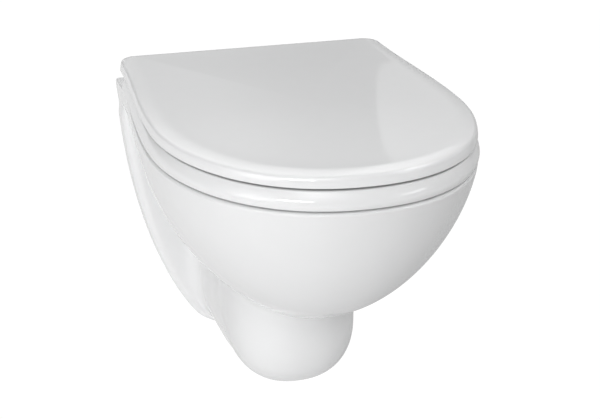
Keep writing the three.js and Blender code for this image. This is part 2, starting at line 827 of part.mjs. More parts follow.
for (const [sign, hand] of [[-1, "left"], [1, "right"]]) {
  const x = sign * hingeX;
  const baseBottom = rim + padThick + 2 * fit;
  const baseTop = baseBottom + postBaseThick;
  const coneTop = rim - deckSeatDrop - fit;
  const nutTop = coneTop - coneThick - fit;
  const stemEnd = nutTop - wingNutThick - stemRadius;
  const base = round(postBase, postBaseThick, "z", [x, -postReach, baseBottom + postBaseThick / 2]);
  const uprightBack = hingeReach + uprightOffset;
  const upright = block(
    [x - postEdge, -uprightBack - uprightDepth, baseBottom],
    [x + postEdge, -uprightBack, axisZ + armRise],
  );
  const arm = block(
    [x - postEdge, -uprightBack - overrun, axisZ - armFall],
    [x + postEdge, -hingeReach, axisZ + armRise],
  );
  const eye = barAlongX(eyeRadius, sign, -postEdge, postEdge);
  const stemMiddle = [x, -postReach, (baseTop + stemEnd) / 2];
  const stem = round(stemRadius, baseTop - stemEnd, "z", stemMiddle, smallSides);
  const pinHole = barAlongX(pinRadius + fit, sign, -postEdge - overrun, postEdge + overrun);
  const post = base.add(upright).add(arm).add(eye).add(stem);
  addPiece(`hinge_post_${hand}`, post.subtract(pinHole), steel);

  const padMiddle = [x, -postReach, rim + fit + padThick / 2];
  const pad = round(postBase + padLip, padThick, "z", padMiddle);
  const padHole = round(stemRadius + fit, padThick + 2 * overrun, "z", padMiddle, smallSides);
  addPiece(`hinge_pad_${hand}`, pad.subtract(padHole), soft);

  const pin = barAlongX(pinRadius, sign, slotStart - pinGrip + fit, slotEnd + pinGrip - fit);
  addPiece(`hinge_pin_${hand}`, pin, steel);

  const bush = (from, to) => {
    const core = barAlongX(bushBore, sign, from - overrun, to + overrun);
    return barAlongX(bushRadius, sign, from, to).subtract(core);
  };
  addPiece(`seat_bush_${hand}`, bush(knuckleStart, knuckleEnd), nylon);
  addPiece(`lid_bush_inner_${hand}`, bush(slotStart - pinGrip, slotStart), nylon);
  addPiece(`lid_bush_outer_${hand}`, bush(slotEnd, slotEnd + pinGrip), nylon);

  const coneProfile = [
    [stemRadius + fit, -coneThick], [coneRadius - coneChamfer, -coneThick],
    [coneRadius, -coneThick / 2], [coneRadius, 0],
    [hingeHole / 2 - fit, 0], [hingeHole / 2 - 2 * fit, coneThick],
    [stemRadius + fit, coneThick], [stemRadius + fit, -coneThick],
  ];
  addPiece(`cone_washer_${hand}`, turned(coneProfile, "z", [x, -postReach, coneTop]), soft);

  const hub = round(wingNutRadius, wingNutThick, "z", [x, -postReach, nutTop - wingNutThick / 2]);
  const wings = block(
    [x - wingSpan / 2, -postReach - wingThick / 2, nutTop - wingNutThick - wingDrop],
    [x + wingSpan / 2, -postReach + wingThick / 2, nutTop - fit],
  );
  const nutMiddle = [x, -postReach, nutTop - wingNutThick / 2];
  const nutHoleLength = wingNutThick + 2 * wingDrop + 2 * overrun;
  const nutHole = round(stemRadius + fit, nutHoleLength, "z", nutMiddle, smallSides);
  addPiece(`wing_nut_${hand}`, hub.add(wings).subtract(nutHole), nylon);
}

// Wall fixings, from the wall outwards: sleeve, washer, nut and cap

for (const [sign, hand] of [[-1, "left"], [1, "right"]]) {
  const place = (reach) => [sign * boltX, -reach, 0];
  const bore = boltSize / 2 + 2 * fit;
  const sleeveRadius = boltHole / 2 - fit;
  const face = flangeDepth + fit;
  const sleeveProfile = [
    [bore, fit], [sleeveRadius, fit], [sleeveRadius, face], [sleeveFlange, face],
    [sleeveFlange, face + sleeveThick], [bore, face + sleeveThick], [bore, fit],
  ];
  addPiece(`fixing_sleeve_${hand}`, turned(sleeveProfile, "-y", place(0)), nylon);

  const washerAt = face + sleeveThick + fit;
  const washerMiddle = place(washerAt + washerThick / 2);
  const washer = round(washerRadius, washerThick, "y", washerMiddle);
  const washerHole = round(bore, washerThick + 2 * overrun, "y", washerMiddle, smallSides);
  addPiece(`fixing_washer_${hand}`, washer.subtract(washerHole), steel);

  const nutAt = washerAt + washerThick + fit;
  const corner = nutAcross / 2 / Math.cos(Math.PI / nutSides);
  const nutMiddle = place(nutAt + nutThick / 2);
  const nut = round(corner, nutThick, "y", nutMiddle, nutSides);
  const thread = round(boltSize / 2 + fit, nutThick + 2 * overrun, "y", nutMiddle, smallSides);
  addPiece(`fixing_nut_${hand}`, nut.subtract(thread), steel);

  const capAt = washerAt;
  const inner = capRadius - capWall;
  const capProfile = [
    [inner, capAt], [capRadius, capAt], [capRadius, capAt + capLength - capWall * 2],
    [capRadius - capWall * 2, capAt + capLength], [0, capAt + capLength + capWall],
    [0, capAt + capLength], [capRadius - capWall * 3, capAt + capLength - capWall],
    [inner, capAt + capLength - capWall * 3], [inner, capAt],
  ];
  addPiece(`fixing_cap_${hand}`, turned(capProfile, "-y", place(0)), nylon);
}

export default toilet;
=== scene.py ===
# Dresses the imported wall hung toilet: fine china, seat and lid shapes, materials, floor, light and camera.
# Shapes are in millimetres, in the part's frame: the wall is the plane y = 0 and the bolts lie at z = 0.
# "Reach" is a distance out from the wall, and "drop" is a distance down from the top of the rim.

import math

import bmesh
import bpy
import numpy as np
from mathutils import Matrix, Vector


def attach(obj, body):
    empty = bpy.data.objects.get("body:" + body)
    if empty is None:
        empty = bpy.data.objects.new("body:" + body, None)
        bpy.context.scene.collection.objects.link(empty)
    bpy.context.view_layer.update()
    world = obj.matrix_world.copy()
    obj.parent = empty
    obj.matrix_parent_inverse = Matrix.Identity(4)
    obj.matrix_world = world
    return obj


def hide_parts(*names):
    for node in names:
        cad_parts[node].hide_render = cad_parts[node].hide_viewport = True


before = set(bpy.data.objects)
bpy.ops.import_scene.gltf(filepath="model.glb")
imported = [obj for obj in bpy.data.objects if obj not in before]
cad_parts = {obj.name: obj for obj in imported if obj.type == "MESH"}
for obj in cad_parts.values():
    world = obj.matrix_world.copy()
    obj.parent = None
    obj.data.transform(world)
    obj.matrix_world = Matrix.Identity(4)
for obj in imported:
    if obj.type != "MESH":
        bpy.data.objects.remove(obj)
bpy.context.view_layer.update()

MM = 0.001

# Edges steeper than this, in degrees, stay sharp
SHARP_ANGLE = 32

# Pan, from above and from the side
PAN_HALF = 179.0
PAN_REACH = 504.0
WIDEST_REACH = 285.0
DECK_HALF = 159.0
PLAN_POWER = 2.15
RIM = 80.0
PAN_HEIGHT = 345.0
BOWL_DEPTH = 213.0
BOWL_BACK_REACH = 84.0
BOWL_LEAN = 71.0
BOWL_SIDE_POWER = 1.78
BOWL_SIDE_ROOT = 1.48
BOWL_FRONT_POWER = 2.85
BOWL_FRONT_ROOT = 2.04
BOWL_PLAN_POWER = 2.36
BOWL_BACK_POWER = 2.6
RIM_ROUND = 4.0
DECK_TOP_DROP = 24.0
DECK_UNDER_DROP = 46.0

# Flange, neck and bulge
FLANGE_DEPTH = 30.0
FLANGE_ROUND = 12.0
FLANGE_FILLET = 20.0
LEAST_FILLET = 1.5
LEAST_BREADTH = LEAST_FILLET / 4
LEAST_SHARE = 1e-4
FLANGE_TIP = 357.0
FLANGE_END_ROUND = 26.0
FLANGE_POWER = 1.7
NECK_HALF = 54.0
LOW_NECK_HALF = 68.0
NECK_WIDEN_DROP = 150.0
NECK_LOW_DROP = 240.0
NECK_REACH = 110.0
BULGE_HALF = 75.0
BULGE_REACH = 215.0
BULGE_NOSE = 295.0
BULGE_BOTTOM = 318.0
BULGE_SHOULDER = 240.0
BULGE_POWER = 2.3
BLEND = 26.0

# Inside of the bowl and the water ways
WELL_HALF = 124.0
WELL_FRONT = 452.0
WELL_BACK = 168.0
BOWL_WALL = 10.0
BOWL_FLOOR = 14.0
WELL_BACK_POWER = 0.6
LIP_THICKNESS = 10.0
LIP_DROP = 38.0
LIP_ROUND = 5.0
CHANNEL_WIDTH = 22.0
CHANNEL_DROP = 13.0
SUMP_HALF = 32.0
SUMP_REACH = 230.0
SUMP_DROP = 196.0
TRAP_RADIUS = 27.0
DIP_DROP = 222.0
DIP_BEND = 41.0
WEIR_DROP = 150.0
WEIR_BEND = 34.0
TRAP_LEAD = 6.0
LEAST_RUN = 0.5
INLET_RISE = 35.0
INLET_BORE = 44.0
INLET_OUTER = 55.0
OUTLET_FALL = 100.0
OUTLET_BORE = 88.0
OUTLET_OUTER = 102.0
OUTLET_DEPTH = 40.0
BACK_RECESS = 18.0
LAND_WIDTH = 16.0
HOLLOW_START = 4.0

# Fixings and hinges
BOLT_X = 90.0
BOLT_HOLE = 18.0
BOSS_RADIUS = 22.0
CROSS_RIB = 9.0
HINGE_X = 77.5
HINGE_REACH = 48.0
AXIS_Z = 112.0
POST_REACH = 60.0
HINGE_HOLE = 14.0
CONE_RADIUS = 11.0
DECK_SEAT_DROP = 36.0
EYE_RADIUS = 6.1
EYE_GAP = 0.4
BORE_RADIUS = 4.3
POST_EDGE = 7.0
SIDE_GAP = 0.5
KNUCKLE_THICK = 13.0
PIN_GRIP = 9.0
SKIN_RISE = 5.6
ARM_RISE = 2.5
ARM_FALL = 3.5
ARM_ROOT = 14.0
RISER_OFFSET = 18.0
RISER_FALL = 20.0
BAY_HALF = 100.5
BAY_REACH = 80.0

# Seat and lid
SEAT_HALF = 180.0
SEAT_REACH = 505.0
SEAT_BACK_REACH = 56.0
LID_REACH = 502.0
LID_BACK_REACH = 40.0
COVER_BACK_HALF = 166.0
CORNER_RADIUS = 22.0
SEAT_BOTTOM = 82.8
SEAT_TOP = 103.0
LID_BOTTOM = 106.0
LID_TOP = 120.0
LID_CROWN = 2.6
LID_CROWN_POWER = 1.5
LID_CROWN_START = 0.04
LID_SHELL = 5.0
LID_NARROW = 2.5
LID_LEAN = 1.2
LID_CORNER = 4.5
LID_CORNER_END = 80.0  # degrees
LID_SHOULDER_RISE = 1.6
LID_TAIL = 0.65
LID_FOOT = 0.8
LID_BAR = 64.0
LID_CEILING_SHARE = 0.5
LEAST_CORNER = 4.0
SEAT_FOOT = 1.0
SEAT_WAIST = 0.3
SEAT_TUCK = 1.6
SEAT_LEAN = 5.0
SEAT_BOW = 1.6
SEAT_BROW = 2.4
SEAT_BROW_GUESS = 0.85
SEAT_ROUND = 7.0
SEAT_DISH = 2.4
HOLE_HALF = 116.0
HOLE_FRONT = 444.0
HOLE_BACK = 172.0

# Counts of points
ARC_STEPS = 10
OVAL_STEPS = 72
SIDE_STEPS = 30
BODY_STATIONS = 96
WELL_STEPS = 56
ROUND_SIDES = 64
BEND_STEPS = 14
LIP_STEPS = 8
WELL_LEVELS = 48
HOLLOW_LEVELS = 60
SEAT_SIDE_LEVELS = 24
SEAT_TOP_RINGS = 22
LID_SIDE_LEVELS = 9
LID_TOP_RINGS = 26

# Steps of the searches for the pan's nose and for where an edge meets its corner
HALVING_STEPS = 30
SETTLING_STEPS = 40

# Tools of a cut stand out of the piece by this
OVERRUN = 1.0

# Levels of the pan below its rounded rim: where each stretch ends, and its count.
# They lie closest where the bowl's bottom runs into the neck.
CREASE_TOP_DROP = 190.0
CREASE_UNDER_DROP = 218.0
PAN_STRETCHES = [
    (DECK_TOP_DROP, 9),
    (DECK_UNDER_DROP, 25),
    (CREASE_TOP_DROP, 60),
    (CREASE_UNDER_DROP, 45),
    (BULGE_BOTTOM, 60),
]

# Rounded foot of the flange: its first angle, how far its last stays short of a quarter turn, and its levels
FOOT_START = 0.08
FOOT_SHORT = 0.02
FOOT_LEVELS = 24


# ---- mesh helpers ----

def new_object(name, points, faces):
    mesh = bpy.data.meshes.new(name)
    mesh.from_pydata([tuple(p) for p in np.asarray(points, float) * MM], [], faces)
    mesh.validate()
    obj = bpy.data.objects.new(name, mesh)
    bpy.context.scene.collection.objects.link(obj)
    return obj


def face_outwards(obj):
    bm = bmesh.new()
    bm.from_mesh(obj.data)
    if bm.calc_volume(signed=True) < 0:
        bmesh.ops.reverse_faces(bm, faces=bm.faces)
    bm.to_mesh(obj.data)
    bm.free()
    return obj


def loft(name, rings, closed=False):
    """Skins rings of equal count; open ends get a fan."""
    rings = np.asarray(rings, float)
    bands, count = rings.shape[0], rings.shape[1]
    points = rings.reshape(-1, 3).tolist()
    faces = []
    for band in range(bands if closed else bands - 1):
        here, there = band * count, ((band + 1) % bands) * count
        for i in range(count):
            j = (i + 1) % count
            faces.append((here + i, here + j, there + j, there + i))
    if not closed:
        for ring in (0, bands - 1):
            centre = len(points)
            points.append(rings[ring].mean(0).tolist())
            base = ring * count
            for i in range(count):
                j = (i + 1) % count
                tri = (centre, base + i, base + j)
                faces.append(tri[::-1] if ring == 0 else tri)
    return face_outwards(new_object(name, points, faces))


def box(low, high):
    low, high = np.minimum(low, high), np.maximum(low, high)
    corners = [[(low, high)[(k >> a) & 1][a] for a in range(3)] for k in range(8)]
    faces = [(0, 2, 3, 1), (4, 5, 7, 6), (0, 1, 5, 4), (2, 6, 7, 3), (0, 4, 6, 2), (1, 3, 7, 5)]
    return face_outwards(new_object("tool", corners, faces))


def rod(radius, axis, start, end, centre):
    """A cylinder along x, y or z from start to end; centre gives the other two coordinates."""
    k = "xyz".index(axis)
    others = [a for a in range(3) if a != k]
    turn = np.arange(ROUND_SIDES) / ROUND_SIDES * 2 * math.pi
    rings = []
    for place in (start, end):
        ring = np.zeros((ROUND_SIDES, 3))
        ring[:, k] = place
        ring[:, others[0]] = centre[0] + radius * np.cos(turn)
        ring[:, others[1]] = centre[1] + radius * np.sin(turn)
        rings.append(ring)
    return loft("tool", rings)


def apply_modifiers(obj):
    graph = bpy.context.evaluated_depsgraph_get()
    mesh = bpy.data.meshes.new_from_object(obj.evaluated_get(graph))
    old = obj.data
    obj.modifiers.clear()
    obj.data = mesh
    bpy.data.meshes.remove(old)
    return obj


def combine(obj, tools, operation="DIFFERENCE"):
    for tool in tools:
        step = obj.modifiers.new("combine", "BOOLEAN")
        step.operation = operation
        step.solver = "MANIFOLD"
        step.object = tool
        apply_modifiers(obj)
        bpy.data.objects.remove(tool)
    return obj


def shade(obj):
    for face in obj.data.polygons:
        face.use_smooth = True
    obj.data.set_sharp_from_angle(angle=math.radians(SHARP_ANGLE))
    return obj


# ---- curves ----

def ease(t):
    return (1 + np.cos(np.pi * np.clip(t, 0, 1))) / 2


def oval(t, power):
    rest = 1 - np.abs(t) ** power
    return np.sign(rest) * np.abs(rest) ** (1 / power)


def lerp(a, b, t):
    return a + (b - a) * t


def soft_max(a, b, radius):
    overlap = np.maximum(radius - np.abs(a - b), 0) / radius
    return np.maximum(a, b) + overlap * overlap * radius / 4


def rim_inset(drop):
    if drop >= RIM_ROUND:
        return 0.0
    return (RIM_ROUND - math.sqrt(RIM_ROUND ** 2 - (RIM_ROUND - drop) ** 2)) / PAN_HALF


def bowl_at(drop):
    """Middle, side share, front share and plan power of the bowl at a drop."""
    t = drop / BOWL_DEPTH
    middle = WIDEST_REACH - BOWL_LEAN * t
    side = max(1 - t ** BOWL_SIDE_POWER, 0) ** (1 / BOWL_SIDE_ROOT) - rim_inset(drop)
    front = max(1 - t ** BOWL_FRONT_POWER, 0) ** (1 / BOWL_FRONT_ROOT) - rim_inset(drop)
    return middle, side, front, lerp(PLAN_POWER, BOWL_PLAN_POWER, t)


def bowl_breadth(reach, drop):
    if drop >= BOWL_DEPTH:
        return np.full_like(reach, -PAN_HALF)
    middle, side, front, power = bowl_at(drop)
    front_run = (PAN_REACH - WIDEST_REACH) * max(front, LEAST_SHARE)
    back_run = (WIDEST_REACH - BOWL_BACK_REACH) * max(side, LEAST_SHARE)
    ahead = oval((reach - middle) / front_run, power)
    behind = oval((middle - reach) / back_run, BOWL_BACK_POWER)
    return PAN_HALF * side * np.where(reach >= middle, ahead, behind)


def deck_breadth(reach, drop):
    middle, side, _, _ = bowl_at(drop)
    behind = (DECK_HALF + (PAN_HALF - DECK_HALF) * ease((middle - reach) / middle)) * side
    return np.where(reach >= middle, bowl_breadth(reach, drop), behind)


def neck_breadth(reach, drop):
    widening = 1 - ease((drop - NECK_WIDEN_DROP) / (NECK_LOW_DROP - NECK_WIDEN_DROP))
    narrow = NECK_HALF + (LOW_NECK_HALF - NECK_HALF) * widening
    past = max(drop - BULGE_SHOULDER, 0)
    scale = oval(past / (BULGE_BOTTOM - BULGE_SHOULDER), BULGE_POWER)
    if scale > 0:
        nose_run = (BULGE_NOSE - BULGE_REACH) * scale
        ahead = BULGE_HALF * scale * oval((reach - BULGE_REACH) / nose_run, BULGE_POWER)
    else:
        ahead = np.full_like(reach, -PAN_HALF)
    swell = ease((BULGE_REACH - reach) / (BULGE_REACH - NECK_REACH))
    bottom = BULGE_BOTTOM + (PAN_HEIGHT - BULGE_BOTTOM) * (1 - swell)
    shoulder = oval(past / (bottom - BULGE_SHOULDER), BULGE_POWER)
    behind = (narrow + (BULGE_HALF - narrow) * swell) * shoulder
    return np.where(reach >= BULGE_REACH, ahead, behind)


def parting(drop):
    """0 at the deck and 1 below it, where the bowl, neck and flange part from each other."""
    return 1 - float(ease((drop - DECK_TOP_DROP) / (DECK_UNDER_DROP - DECK_TOP_DROP)))


def body_breadth(reach, drop):
    reach = np.atleast_1d(np.asarray(reach, float))
    below = soft_max(bowl_breadth(reach, drop), neck_breadth(reach, drop), BLEND)
    share = parting(drop)
    return lerp(deck_breadth(reach, drop), below, share) if share < 1 else below


def flange_half(drop):
    narrowing = math.sqrt(1 - (drop / FLANGE_TIP) ** FLANGE_POWER)
    end = max(drop - (PAN_HEIGHT - FLANGE_END_ROUND), 0) / FLANGE_END_ROUND
    return DECK_HALF * narrowing * float(oval(end, 2))


def nose_reach(drop):
    places = np.arange(PAN_REACH + OVERRUN, 0, -LEAST_FILLET)
    inside = places[np.argmax(body_breadth(places, drop) > 0)]
    outside = inside + LEAST_FILLET
    for _ in range(HALVING_STEPS):
        middle = (outside + inside) / 2
        if body_breadth(middle, drop)[0] > 0:
            inside = middle
        else:
            outside = middle
    return inside


def pan_level(drop):
    """One level: from the wall round the flange's edge, along neck and bowl to the nose, and back."""
    below = parting(drop)
    half = flange_half(drop)
    edge = min(FLANGE_ROUND, half / 2)
    body_start = FLANGE_DEPTH + FLANGE_FILLET
    neck = min(float(neck_breadth(np.array([body_start]), drop)[0]), half - edge - LEAST_FILLET)
    fillet = min(FLANGE_FILLET, half - edge - neck)
    turn = np.linspace(0, math.pi / 2, ARC_STEPS + 1)
    xs = np.concatenate([[half], half - edge + edge * np.cos(turn), neck + fillet * (1 - np.sin(turn))])
    rs = np.concatenate([
        [0],
        FLANGE_DEPTH - edge + edge * np.sin(turn),
        FLANGE_DEPTH + FLANGE_FILLET * (1 - np.cos(turn)),
    ])
    if below < 1:
        xs = lerp(deck_breadth(rs, drop), xs, below)
    nose = max(nose_reach(drop), body_start + LEAST_FILLET)
    quarter = np.arange(1, BODY_STATIONS) / BODY_STATIONS * math.pi / 2
    stations = body_start + (nose - body_start) * np.sin(quarter)
    xs = np.concatenate([xs, np.maximum(body_breadth(stations, drop), LEAST_BREADTH)])
    rs = np.concatenate([rs, stations])
    right = np.stack([xs, -rs, np.full_like(xs, RIM - drop)], 1)
    left = right[::-1] * [-1, 1, 1]
    return np.concatenate([right, [[0, -nose, RIM - drop]], left])


def pan_drops():
    turn = np.linspace(0, math.pi / 2, ARC_STEPS + 1)
    drops = [RIM_ROUND * (1 - np.cos(turn))]
    top = RIM_ROUND
    for bottom, count in PAN_STRETCHES:
        drops.append(np.linspace(top, bottom, count)[1:])
        top = bottom
    foot = np.linspace(FOOT_START, math.pi / 2 - FOOT_SHORT, FOOT_LEVELS)
    drops.append(PAN_HEIGHT - FLANGE_END_ROUND * (1 - np.sin(foot)))
    return np.concatenate(drops)


# ---- inside of the bowl ----

def well_ring(half, front, back, drop):
    turn = np.arange(2 * WELL_STEPS) / WELL_STEPS * math.pi
    aside, along = np.cos(turn), np.sin(turn)
    middle = (back + front) / 2
    x = half * np.sign(aside) * np.abs(aside) ** (2 / PLAN_POWER)
    run = np.sign(along) * np.abs(along) ** (2 / PLAN_POWER)
    return np.stack([x, -middle - run * (front - back) / 2, np.full_like(x, RIM - drop)], 1)


def mouth_ring(grow, drop):
    """The mouth, made wider by grow."""
    return well_ring(WELL_HALF + grow, WELL_FRONT + grow, WELL_BACK - grow, drop)


def well_level(drop):
    """Below the lip the well keeps the bowl's wall, and its back comes forward to the sump."""
    middle, side, front, _ = bowl_at(drop + BOWL_FLOOR)
    half = max(PAN_HALF * side - BOWL_WALL, SUMP_HALF)
    front_reach = max(middle + (PAN_REACH - WIDEST_REACH) * front - BOWL_WALL, SUMP_REACH + SUMP_HALF)
    share = max(drop - LIP_DROP, 0) / (SUMP_DROP - LIP_DROP)
    channel_back = WELL_BACK - LIP_THICKNESS - CHANNEL_WIDTH
    back_reach = lerp(channel_back, SUMP_REACH - SUMP_HALF, share ** WELL_BACK_POWER)
    return well_ring(half, front_reach, back_reach, drop)


def bend_points(reach, drop, radius, quarters):
    turn = np.linspace(0, quarters * math.pi / 2, BEND_STEPS * abs(quarters) + 1)
    return np.stack([reach + radius * np.cos(turn), drop + radius * np.sin(turn)], 1)


def trap_rings():
    """The trap: down from the sump, up over the weir and down to the outlet."""
    up_leg = SUMP_REACH - 2 * DIP_BEND
    over_leg = up_leg - 2 * WEIR_BEND
    outlet_drop = RIM + OUTLET_FALL
    outlet_bend = outlet_drop - WEIR_DROP
    path = np.concatenate([
        [[SUMP_REACH, SUMP_DROP], [SUMP_REACH, SUMP_DROP + TRAP_LEAD]],
        bend_points(up_leg + DIP_BEND, DIP_DROP, DIP_BEND, 2),
        bend_points(over_leg + WEIR_BEND, WEIR_DROP, WEIR_BEND, -2),
        bend_points(over_leg - outlet_bend, WEIR_DROP, outlet_bend, 1),
        [[-OVERRUN, outlet_drop]],
    ])
    kept = [path[0]]
    for point in path[1:]:
        if np.hypot(*(point - kept[-1])) > LEAST_RUN:
            kept.append(point)
    kept = np.array(kept)
    turn = np.arange(2 * WELL_STEPS) / WELL_STEPS * math.pi
    rings = []
    for i, (reach, drop) in enumerate(kept):
        along = kept[min(i + 1, len(kept) - 1)] - kept[max(i - 1, 0)]
        along /= np.hypot(*along)
        normal = (along[1], -along[0])
        out = TRAP_RADIUS * np.sin(turn)
        x = TRAP_RADIUS * np.cos(turn)
        rings.append(np.stack([x, -(reach + normal[0] * out), RIM - (drop + normal[1] * out)], 1))
    return rings


def bowl_inside():
    """The mouth, the round lip, the flush channel behind it, the well and the trap, as one tool."""
    turn = np.linspace(0, math.pi / 2, LIP_STEPS + 1)
    half_turn = np.linspace(0, math.pi, 2 * LIP_STEPS + 1)
    rings = [mouth_ring(LIP_ROUND, -OVERRUN)]
    rings += [mouth_ring(LIP_ROUND * (1 - math.sin(a)), LIP_ROUND * (1 - math.cos(a))) for a in turn]
    lip_low = LIP_DROP - LIP_ROUND
    half_lip = LIP_THICKNESS / 2
    rings += [
        mouth_ring(half_lip * (1 - math.cos(a)), lip_low + half_lip * math.sin(a)) for a in half_turn
    ]
    rings += [mouth_ring(LIP_THICKNESS, CHANNEL_DROP), well_level(CHANNEL_DROP), well_level(LIP_DROP)]
    down = np.linspace(0, math.pi / 2, WELL_LEVELS)[1:]
    rings += [well_level(drop) for drop in LIP_DROP + (SUMP_DROP - LIP_DROP) * np.sin(down)]
    return loft("inside", rings + trap_rings())


def back_hollow():
    """The flange's back is hollow inside a land, but for the bosses, their web and the two collars."""
    low_drops = np.linspace(LAND_WIDTH + HOLLOW_START, PAN_HEIGHT - LAND_WIDTH, HOLLOW_LEVELS)
    drops = np.concatenate([[LAND_WIDTH], low_drops])
    side = np.array([[flange_half(d) - LAND_WIDTH, RIM - d] for d in drops])
    side = side[side[:, 0] > LAND_WIDTH / 2]
    outline = np.concatenate([side, side[::-1] * [-1, 1]])
    hollow = loft("tool", [
        np.stack([outline[:, 0], np.full(len(outline), y), outline[:, 1]], 1) for y in (OVERRUN, -BACK_RECESS)
    ])
    deep = -BACK_RECESS - 2 * OVERRUN
    kept = [
        rod(INLET_OUTER / 2, "y", deep, 2 * OVERRUN, (0, INLET_RISE)),
        rod(OUTLET_OUTER / 2, "y", deep, 2 * OVERRUN, (0, -OUTLET_FALL)),
        rod(BOSS_RADIUS, "y", deep, 2 * OVERRUN, (BOLT_X, 0)),
        rod(BOSS_RADIUS, "y", deep, 2 * OVERRUN, (-BOLT_X, 0)),
        box((-BOLT_X, deep, -CROSS_RIB), (BOLT_X, 2 * OVERRUN, CROSS_RIB)),
    ]
    return combine(hollow, kept)


def make_pan():
    pan = loft("china_pan", [pan_level(d) for d in pan_drops()])
    inlet_reach = WELL_BACK - LIP_THICKNESS - CHANNEL_WIDTH + INLET_BORE / 2
    tools = [
        bowl_inside(),
        back_hollow(),
        rod(INLET_BORE / 2, "y", -inlet_reach, OVERRUN, (0, INLET_RISE)),
        rod(OUTLET_BORE / 2, "y", -OUTLET_DEPTH, OVERRUN, (0, -OUTLET_FALL)),
    ]
    cone_top = RIM - DECK_SEAT_DROP
    cone_end = cone_top - 2 * (DECK_UNDER_DROP - DECK_SEAT_DROP)
    for sign in (-1, 1):
        stem = (sign * HINGE_X, -POST_REACH)
        tools += [
            rod(BOLT_HOLE / 2, "y", -FLANGE_DEPTH - OVERRUN, OVERRUN, (sign * BOLT_X, 0)),
            rod(HINGE_HOLE / 2, "z", RIM + OVERRUN, RIM - DECK_UNDER_DROP - OVERRUN, stem),
            rod(CONE_RADIUS + OVERRUN, "z", cone_top, cone_end, stem),
        ]
    return shade(combine(pan, tools))


# ---- seat and lid ----

def cover_side(inset, front, back):
    """Right half of the outline of seat or lid, from the middle of its front to the middle of its back."""
    half = SEAT_HALF - inset
    back_half = COVER_BACK_HALF - inset
    corner = max(CORNER_RADIUS - inset, LEAST_CORNER)
    end = back + inset
    turn = np.linspace(0, math.pi / 2, OVAL_STEPS + 1)
    xs = half * np.sin(turn) ** (2 / PLAN_POWER)
    rs = WIDEST_REACH + np.cos(turn) ** (2 / PLAN_POWER) * (front - inset - WIDEST_REACH)
    reach = lerp(WIDEST_REACH, end + corner, np.arange(1, SIDE_STEPS + 1) / SIDE_STEPS)
    side = back_half + (half - back_half) * ease((WIDEST_REACH - reach) / (WIDEST_REACH - back))
    corner_x = side[-1] - corner
    turn = np.linspace(0, math.pi / 2, ARC_STEPS + 1)[1:]
    xs = np.concatenate([xs, side, corner_x + corner * np.cos(turn), [corner_x / 2, 0]])
    rs = np.concatenate([rs, reach, end + corner * (1 - np.sin(turn)), [end, end]])
    return np.stack([xs, rs], 1)


def hole_side(grow, count):
    middle = (HOLE_FRONT + HOLE_BACK) / 2
    turn = np.linspace(0, math.pi, count)
    run = np.sign(np.cos(turn)) * np.abs(np.cos(turn)) ** (2 / PLAN_POWER)
    aside = np.abs(np.sin(turn)) ** (2 / PLAN_POWER)
    aside[-1] = 0
    half_length = (HOLE_FRONT - HOLE_BACK) / 2 + grow
    return np.stack([(HOLE_HALF + grow) * aside, middle + run * half_length], 1)


def ring_at(side, z):
    right = np.stack([side[:, 0], -side[:, 1], np.full(len(side), z)], 1)
    left = right[1:-1][::-1] * [-1, 1, 1]
    return np.concatenate([right, left])


def across(sign, start, end):
    """Limits in x of a piece of the left or right hinge, from start to end outwards from its post."""
    return (HINGE_X + start, HINGE_X + end) if sign > 0 else (-HINGE_X - end, -HINGE_X - start)


KNUCKLE_START = POST_EDGE + SIDE_GAP
KNUCKLE_END = KNUCKLE_START + KNUCKLE_THICK
SLOT_START = -POST_EDGE - SIDE_GAP
SLOT_END = KNUCKLE_END + SIDE_GAP


def bar(radius, sign, start, end):
    low, high = across(sign, start, end)
    return rod(radius, "x", low, high, (-HINGE_REACH, AXIS_Z))


def past_waist(share):
    """How far a place on the seat's side lies below and above its waist, each as a share."""
    low = max(SEAT_WAIST - share, 0) / SEAT_WAIST
    high = max(share - SEAT_WAIST, 0) / (1 - SEAT_WAIST)
    return low, high


def seat_inset(share):
    """The side is widest at its waist, tucks in below it and leans in above it."""
    low, high = past_waist(share)
    return SEAT_TUCK * low ** 2 + SEAT_LEAN * high ** SEAT_BOW


def seat_slope(share):
    low, high = past_waist(share)
    lean = SEAT_LEAN * SEAT_BOW * high ** (SEAT_BOW - 1) / (1 - SEAT_WAIST)
    return lean - 2 * SEAT_TUCK * low / SEAT_WAIST


